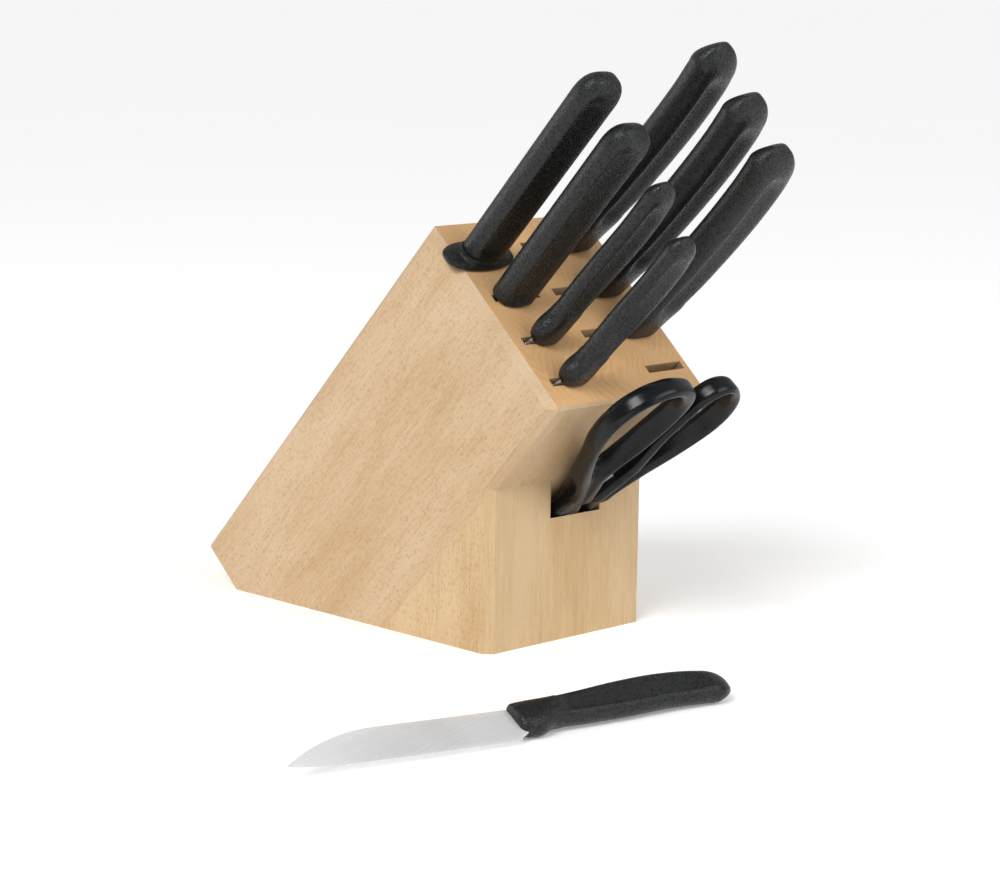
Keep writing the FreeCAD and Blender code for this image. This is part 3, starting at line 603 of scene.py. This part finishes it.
def blade_rings(shape, long):
    """Sections from the handle to the point: spine, flat, grind line and edge."""
    count = int(long / (STEP_SERRATED if shape["wave"] else STEP_LONG))
    rings = []
    for step in range(count + 1):
        down = long * (1 - (1 - step / count) ** STEP_CLOSER)
        spine, edge = blade_sides(shape, down, long)
        tall = max(spine - edge, POINT_TALL)
        thick = (shape["spine"] / 2 * (1 - BLADE_TAPER * down / long)
                 * min(1.0, POINT_THICK + tall / shape["deep"]))
        grind = max(GRIND_FROM, 1 - GRIND_TALL / tall)
        right = [(thick * wide, spine - tall * v) for v, wide in BLADE_SIDE]
        right += [(thick * GRIND_THICK, spine - tall * grind), (EDGE_THIN / 2, spine - tall)]
        ring = [(x, y, -down) for x, y in right]
        ring += [(-x, y, -down) for x, y in reversed(right)]
        rings.append(ring)
    return rings


def blade(name, place):
    """The blade and the short neck that goes up into the handle."""
    node = f"{name}_blade"
    out = place.col[2].xyz
    long = (reach(f"{name}_handle", out)[0] - reach(node, out)[0]) / MM
    rings = blade_rings(KNIVES[name], long)
    neck = [(x, max(y, -KNIVES[name]["deep"] * NECK_WIDE), NECK_HIGH) for x, y, z in rings[0]]
    mesh = rings_mesh(node, [neck] + rings, sharp_angle=25)
    finish_mesh(mesh, f"{node}_ground", BLADE_STEEL, name, [node], place)


def knives():
    for name, shape in KNIVES.items():
        turn = loose_turn() if name == "spare_knife" else SLOPE_TURN
        node = f"{name}_handle"
        place = tool_place(node, f"{name}_blade", turn)
        handle(node, shape["handle"], place, name)
        blade(name, place)


knives()


# ---------------------------------------------------------------- carving fork and sharpening steel
def fork():
    place = tool_place("fork_handle", "fork_tines", SLOPE_TURN, on_spine=False)
    handle("fork_handle", "straight", place, "carving_fork")
    dress("fork_tines", BLADE_STEEL)


def steel():
    place = tool_place("steel_handle", "steel_rod", SLOPE_TURN, on_spine=False)
    handle("steel_handle", "straight", place, "sharpening_steel")
    steel_rod(place)
    steel_guard(place)


OVAL_POINTS = 96
OVAL_BLUNT = 0.8        # exponent of the oval: 1 is an ellipse and less is blunter


def oval(half_x, half_y, z):
    """A ring with blunt ends, half_x and half_y from its middle."""
    ring = []
    for index in range(OVAL_POINTS):
        angle = 2 * math.pi * index / OVAL_POINTS
        x, y = (signed_power(value, OVAL_BLUNT) for value in (math.cos(angle), math.sin(angle)))
        ring.append((half_x * x, half_y * y, z))
    return ring


# The guard's rings in mm. The plate's are inside its rim by so much each way, and so far up from
# its underside.
GUARD_PLATE = [(4, 4, 0.0), (0.7, 0.7, 0.0), (0.2, 0.2, 0.25), (0, 0, 0.8), (0.2, 0.2, 1.4),
               (0.8, 0.8, 1.75), (1.0, 4, 2.1), (1.1, 7, 2.3)]
# The lip's have these half sizes: first up from the plate's underside, then up from the CAD's top.
LIP_FOOT = [(7.3, 11.9, 2.6), (7.2, 11.4, 3.2)]
LIP_TOP = [(7.3, 11.4, -0.4), (7.1, 11.2, 0.1), (6.4, 10.4, 0.3), (5.0, 8.0, 0.2)]


def steel_guard(place):
    """The oval guard: a thin plate that thins to its rim, and a lip round the handle."""
    tall, wide, long = (span("steel_guard", direction) for direction in (OUT, DOWN, ACROSS))
    rings = [oval(wide / 2 - x, long / 2 - y, z - tall) for x, y, z in GUARD_PLATE]
    rings += [oval(x, y, z - tall) for x, y, z in LIP_FOOT]
    rings += [oval(x, y, z) for x, y, z in LIP_TOP]
    mesh = rings_mesh("steel_guard_moulded", rings, sharp_angle=50)
    finish_mesh(mesh, "steel_guard_moulded", HANDLE_BLACK, "sharpening_steel",
                ["steel_guard"], place)


ROD_RIBS = 48
RIB_POINTS = 6          # points of the ring for each rib
RIB_DEEP = 0.16         # mm
RIB_RUN = 1.5           # mm over which the ribs come up
ROD_NECK = 12.0         # mm of smooth rod under the guard
RIBS_END = 18           # mm up from the rod's tip
TIP_FROM = 16
TIP_STEP = 0.1          # mm off the radius where the tip starts
ROD_TIP = [(8, 0.68), (1.0, 0.38), (0, 0.3)]        # mm up from the end, and share of the radius
TANG = (0.66, 0.68)     # shares of the radius at the tang's top and under the handle


def steel_rod(place):
    """The rod has fine ribs along it, and a tang that goes up into the handle."""
    radius = span("steel_rod", ACROSS) / 2
    base = place.translation.dot(OUT) / MM
    low, high = (value / MM - base for value in reach("steel_rod", OUT))
    start = reach("steel_guard", OUT)[0] / MM - base
    profile = [(high, radius * TANG[0], 0), (start, radius * TANG[1], 0), (start, radius, 0),
               (start - ROD_NECK, radius, 0), (start - ROD_NECK - RIB_RUN, radius, 1),
               (low + RIBS_END, radius, 1), (low + TIP_FROM, radius - TIP_STEP, 0)]
    profile += [(low + up, radius * share, 0) for up, share in ROD_TIP]
    count = ROD_RIBS * RIB_POINTS
    rings = []
    for z, wide, ribbed in profile:
        ring = []
        for index in range(count):
            angle = 2 * math.pi * index / count
            r = wide - ribbed * RIB_DEEP * (1 - math.cos(ROD_RIBS * angle)) / 2
            ring.append((r * math.cos(angle), r * math.sin(angle), z))
        rings.append(ring)
    mesh = rings_mesh("steel_rod_ribbed", rings, sharp_angle=40)
    finish_mesh(mesh, "steel_rod_ribbed", ROD_STEEL, "sharpening_steel",
                ["steel_rod"], place)


fork()
steel()


# ---------------------------------------------------------------- scissors
# Outlines of the bows round the pivot in mm: across the block, and out towards the tips.
LEFT_BOW = [
    (-15.4, 7.0), (-14.8, 15.0), (-17.8, 24.5), (-25.6, 35.0), (-35.6, 52.0), (-42.6, 65.5),
    (-44.8, 79.5), (-39.6, 93.5), (-25.5, 103.4), (-9.8, 101.6), (-3.4, 92.5), (-2.2, 77.0),
    (-4.0, 60.0), (-7.5, 48.0), (-8.0, 39.0), (-3.5, 28.0), (-1.2, 20.0), (-3.2, 13.0),
    (-8.0, 6.0), (-12.0, 4.5),
]
LEFT_HOLE = [
    (-14.0, 41.5), (-11.0, 51.0), (-8.0, 65.0), (-7.2, 82.0), (-11.0, 93.0), (-21.0, 98.6),
    (-32.0, 95.5), (-39.8, 86.0), (-40.0, 75.0), (-35.0, 61.0), (-25.0, 46.5), (-18.5, 39.5),
]
RIGHT_BOW = [
    (0.8, 20.0), (3.0, 30.0), (5.8, 41.0), (3.8, 54.0), (2.0, 66.0), (1.8, 80.0), (2.8, 92.0),
    (8.0, 101.3), (17.8, 103.8), (29.2, 97.0), (35.8, 84.3), (35.2, 70.5), (28.4, 55.0),
    (18.6, 38.5), (12.4, 26.2), (10.8, 16.0), (11.0, 8.0), (9.0, 5.5), (6.8, 7.0), (3.6, 13.0),
]
RIGHT_HOLE = [
    (5.6, 70.0), (5.6, 82.0), (7.6, 93.0), (13.0, 99.2), (20.6, 98.0), (27.6, 91.0),
    (31.2, 80.0), (30.0, 69.0), (24.2, 57.4), (15.2, 44.6), (11.2, 44.0), (8.4, 56.0),
]

BOW_THICK = 10.4
BOW_ROUND = 3.2         # radius of the bows' edges
BOW_STEPS = 5           # steps of that round edge
SPAN_POINTS = 8         # points of the outline between two of the listed ones
VOXEL = 0.6             # mm between the points of the skin
RELAX_SHARE = 0.5       # smoothing of that skin
RELAX_STEPS = 4
HOLE_TAPER = 4.0        # mm by which each hole narrows towards the back, on its right and below
TAPER_REACH = 7.0       # how far around a hole its edge draws in, mm
TAPER_RIGHT = 0.5       # it does so where the way to the middle runs less than this to the right,
TAPER_BELOW = 0.4       # or more than this out towards the tips
ROOT_FROM = 22.0        # below here the shanks thin down to fit into the channel,
ROOT_RUN = 6.0          # over this many mm
ROOT_THIN = 0.3         # and by this share
# The dished tongue below each hole: points down the shank with its half width and its depth, in mm.
LEFT_TONGUE = [(-18.0, 43.0, 5.0, 3.0), (-15.0, 35.0, 3.6, 2.6), (-11.0, 27.0, 2.2, 1.8),
               (-8.5, 20.0, 1.0, 0.6)]
RIGHT_TONGUE = [(13.0, 46.0, 4.0, 3.0), (10.8, 38.0, 3.0, 2.4), (8.0, 29.0, 1.8, 1.5),
                (5.5, 21.0, 0.8, 0.5)]
TONGUE_SKIN = 3         # the tongue's dent fades out over this many mm from the front


def closed_curve(points):
    """Points of a smooth closed curve through the listed ones."""
    made = []
    count = len(points)
    for index in range(count):
        before, start, end, after = (
            Vector(points[(index + shift) % count]) for shift in (-1, 0, 1, 2))
        for step in range(SPAN_POINTS):
            t = step / SPAN_POINTS
            made.append(0.5 * (2 * start + (end - before) * t
                               + (2 * before - 5 * start + 4 * end - after) * t * t
                               + (3 * start - before - 3 * end + after) * t ** 3))
    return made


def scissors_place():
    """The scissors' own frame, with its origin on the pivot."""
    hinge = joints["scissors_pivot"]
    normal = Vector(hinge["axis"]).normalized()
    out = Vector(joints["scissors_draw"]["axis"]).normalized()
    turn = columns(normal, out.cross(normal), out)
    return Matrix.Translation(Vector(hinge["pos_m"])) @ turn.to_4x4()


def rounded_plate(name, outlines):
    """A plate with full round edges, from the outlines of its rim and its hole."""
    curve = bpy.data.curves.new(name, "CURVE")
    curve.dimensions = "2D"
    curve.fill_mode = "BOTH"
    curve.extrude = BOW_THICK / 2 - BOW_ROUND
    curve.bevel_depth = BOW_ROUND
    curve.bevel_resolution = BOW_STEPS
    curve.offset = -BOW_ROUND
    for outline in outlines:
        points = closed_curve(outline)
        spline = curve.splines.new("POLY")
        spline.points.add(len(points) - 1)
        for target, (across, out) in zip(spline.points, points):
            target.co = (across, out, 0.0, 1.0)
        spline.use_cyclic_u = True
    return evaluated(bpy.data.objects.new(name, curve))


def evaluated(source):
    """The final mesh of an object that isn't kept."""
    bpy.context.scene.collection.objects.link(source)
    depsgraph = bpy.context.evaluated_depsgraph_get()
    mesh = bpy.data.meshes.new_from_object(source.evaluated_get(depsgraph), depsgraph=depsgraph)
    bpy.data.objects.remove(source)
    return mesh


def remeshed(name, mesh):
    """One even skin over the mesh, fine enough to be shaped."""
    source = bpy.data.objects.new(name, mesh)
    remesh = source.modifiers.new("skin", "REMESH")
    remesh.mode = "VOXEL"
    remesh.voxel_size = VOXEL
    relax = source.modifiers.new("relax", "SMOOTH")
    relax.factor = RELAX_SHARE
    relax.iterations = RELAX_STEPS
    return evaluated(source)


def tongue_depth(tongue, across, out):
    """How deep the dished tongue is at a place on the front face."""
    depth = 0.0
    for (y0, z0, wide0, deep0), (y1, z1, wide1, deep1) in zip(tongue, tongue[1:]):
        along = Vector((y1 - y0, z1 - z0))
        share = Vector((across - y0, out - z0)).dot(along) / along.length_squared
        share = min(max(share, 0.0), 1.0)
        away = math.hypot(across - y0 - along.x * share, out - z0 - along.y * share)
        wide = wide0 + (wide1 - wide0) * share
        deep = deep0 + (deep1 - deep0) * share
        depth = max(depth, deep * (1 - smooth_step(away / wide)))
    return depth


def bow(name, outer, hole, tongue, body):
    """A finger ring and its shank, shaped from a plate with round edges."""
    mesh = remeshed(f"{name}_skin", rounded_plate(f"{name}_plate", (outer, hole)))
    rim = closed_curve(hole)
    middle = sum(rim, Vector((0, 0))) / len(rim)
    finder = KDTree(len(rim))
    for index, point in enumerate(rim):
        finder.insert((point.x, point.y, 0), index)
    finder.balance()
    for vertex in mesh.vertices:
        across, out, normal = vertex.co
        away = finder.find((across, out, 0))[2]
        inward = (middle - Vector((across, out))).normalized()
        back = smooth_step((BOW_THICK / 2 - normal) / BOW_THICK)
        back *= 1 - smooth_step(away / TAPER_REACH)
        side = smooth_step(TAPER_RIGHT - inward.x) + smooth_step(inward.y - TAPER_BELOW)
        shift = HOLE_TAPER * back * min(side, 1.0)
        normal *= 1 - ROOT_THIN * smooth_step((ROOT_FROM - out) / ROOT_RUN)
        if normal > 0:
            normal -= tongue_depth(tongue, across, out) * smooth_step(normal / TONGUE_SKIN)
        vertex.co = (normal, across + inward.x * shift, out + inward.y * shift)
    finish_mesh(mesh, f"{name}_moulded", BOW_BLACK, body, [name], scissors_place())


def scissors():
    bow("scissors_bow_left", LEFT_BOW, LEFT_HOLE, LEFT_TONGUE, "scissors_left_half")
    bow("scissors_bow_right", RIGHT_BOW, RIGHT_HOLE, RIGHT_TONGUE, "scissors")
    for node in ("scissors_blade_left", "scissors_blade_right"):
        dress(node, BLADE_STEEL)
    for node in ("scissors_screw", "scissors_nut"):
        dress(node, PIVOT_STEEL)


scissors()


# ---------------------------------------------------------------- floor, light and camera
CAMERA_PLACE = (0.9645, -0.9235, 0.3134)    # metres, and the angles are in degrees
CAMERA_YAW = 134.905
CAMERA_PITCH = -9.899
CAMERA_ROLL = 0.9485
LENS = 104.15           # mm
CLIP = (0.01, 100.0)
FLOOR_SIZE = 40.0
FLOOR_DARK = (0.95, 0.95, 0.95, 1)
FLOOR_PALE = (0.97, 0.97, 0.97, 1)
FLOOR_SCALE = 3.0
FLOOR_GLOW = 0.19
WORLD_BRIGHT = 0.47
WORLD_DARK = 0.03
DARK_FROM = 0.2         # how squarely a direction faces the camera where the dark wall starts
DARK_FULL = 0.75        # and where it is full
LIGHT_TARGET = Vector((0.0, 0.0, 0.12))
# Where each light stands: shares towards the camera, to the picture's left, and up.
KEY = (0.95, 0.40, 0.62)
RIM = (-0.18, 1.0, 0.22)
FILL = (0.7, -0.9, 0.5)


def camera():
    """Places the camera; returns its forward direction, and a level one to the picture's right."""
    yaw, pitch, roll = (math.radians(angle) for angle in (CAMERA_YAW, CAMERA_PITCH, CAMERA_ROLL))
    flat = math.cos(pitch)
    forward = Vector((math.cos(yaw) * flat, math.sin(yaw) * flat, math.sin(pitch)))
    level = Vector((math.sin(yaw), -math.cos(yaw), 0))
    upright = level.cross(forward)
    right = level * math.cos(roll) + upright * math.sin(roll)
    above = upright * math.cos(roll) - level * math.sin(roll)
    data = bpy.data.cameras.new("camera")
    data.lens = LENS
    data.clip_start, data.clip_end = CLIP
    made = bpy.data.objects.new("camera", data)
    made.matrix_world = Matrix.Translation(CAMERA_PLACE) @ columns(right, above, -forward).to_4x4()
    bpy.context.scene.collection.objects.link(made)
    bpy.context.scene.camera = made
    return forward, level


def floor():
    surface = Graph("floor_white")
    point = surface.place()
    cloud = surface.noise(point, FLOOR_SCALE)
    surface.set(Base_Color=surface.mix(cloud, FLOOR_DARK, FLOOR_PALE), Roughness=0.8)
    surface.set(Specular_IOR_Level=0.1, Emission_Color=(1, 1, 1, 1), Emission_Strength=FLOOR_GLOW)
    bpy.ops.mesh.primitive_plane_add(size=FLOOR_SIZE, location=(0, 0, 0))
    made = bpy.context.object
    made.name = "floor"
    made.data.materials.append(surface.material)


def light(name, kind, power, place, direction):
    """A light that shines against a direction."""
    data = bpy.data.lights.new(name, kind)
    data.energy = power
    made = bpy.data.objects.new(name, data)
    turn = direction.to_track_quat("Z", "Y").to_matrix()
    made.matrix_world = Matrix.Translation(place) @ turn.to_4x4()
    bpy.context.scene.collection.objects.link(made)
    return data


def sun(direction, power, width):
    """A wide, soft light from far away, so that the floor is evenly lit."""
    light("key", "SUN", power, Vector(), direction).angle = math.radians(width)


def softbox(name, direction, power, distance, size):
    """A square light that looks at the middle of the block from a direction."""
    light(name, "AREA", power, LIGHT_TARGET + direction * distance, direction).size = size


def studio(forward):
    """Bright all round, with a dark wall on the camera's side. The camera sees only white."""
    world = bpy.data.worlds.new("studio")
    bpy.context.scene.world = world
    world.use_nodes = True
    tree = world.node_tree
    nodes, links = tree.nodes, tree.links
    background = nodes["Background"]
    coordinate = nodes.new("ShaderNodeTexCoord")
    dot = nodes.new("ShaderNodeVectorMath")
    dot.operation = "DOT_PRODUCT"
    dot.inputs[1].default_value = tuple(-forward)
    links.new(coordinate.outputs["Generated"], dot.inputs[0])
    ramp = nodes.new("ShaderNodeMapRange")
    ramp.interpolation_type = "SMOOTHSTEP"
    for key, value in (("From Min", DARK_FROM), ("From Max", DARK_FULL),
                       ("To Min", WORLD_BRIGHT), ("To Max", WORLD_DARK)):
        ramp.inputs[key].default_value = value
    links.new(dot.outputs["Value"], ramp.inputs["Value"])
    path = nodes.new("ShaderNodeLightPath")
    seen = nodes.new("ShaderNodeMix")
    seen.data_type = "FLOAT"
    links.new(path.outputs["Is Camera Ray"], seen.inputs[0])
    links.new(ramp.outputs[0], seen.inputs[2])
    seen.inputs[3].default_value = 1.0
    links.new(seen.outputs[0], background.inputs["Strength"])
    background.inputs["Color"].default_value = (1, 1, 1, 1)


def backdrop():
    forward, level = camera()

    def stands(place):
        near, left, high = place
        return (UP * high - forward * near - level * left).normalized()

    floor()
    studio(forward)
    sun(stands(KEY), power=2.2, width=28.0)
    softbox("rim", stands(RIM), power=5.5, distance=1.6, size=0.9)
    softbox("fill", stands(FILL), power=12.5, distance=1.8, size=1.1)


backdrop()

bpy.context.scene.view_settings.view_transform = "Standard"
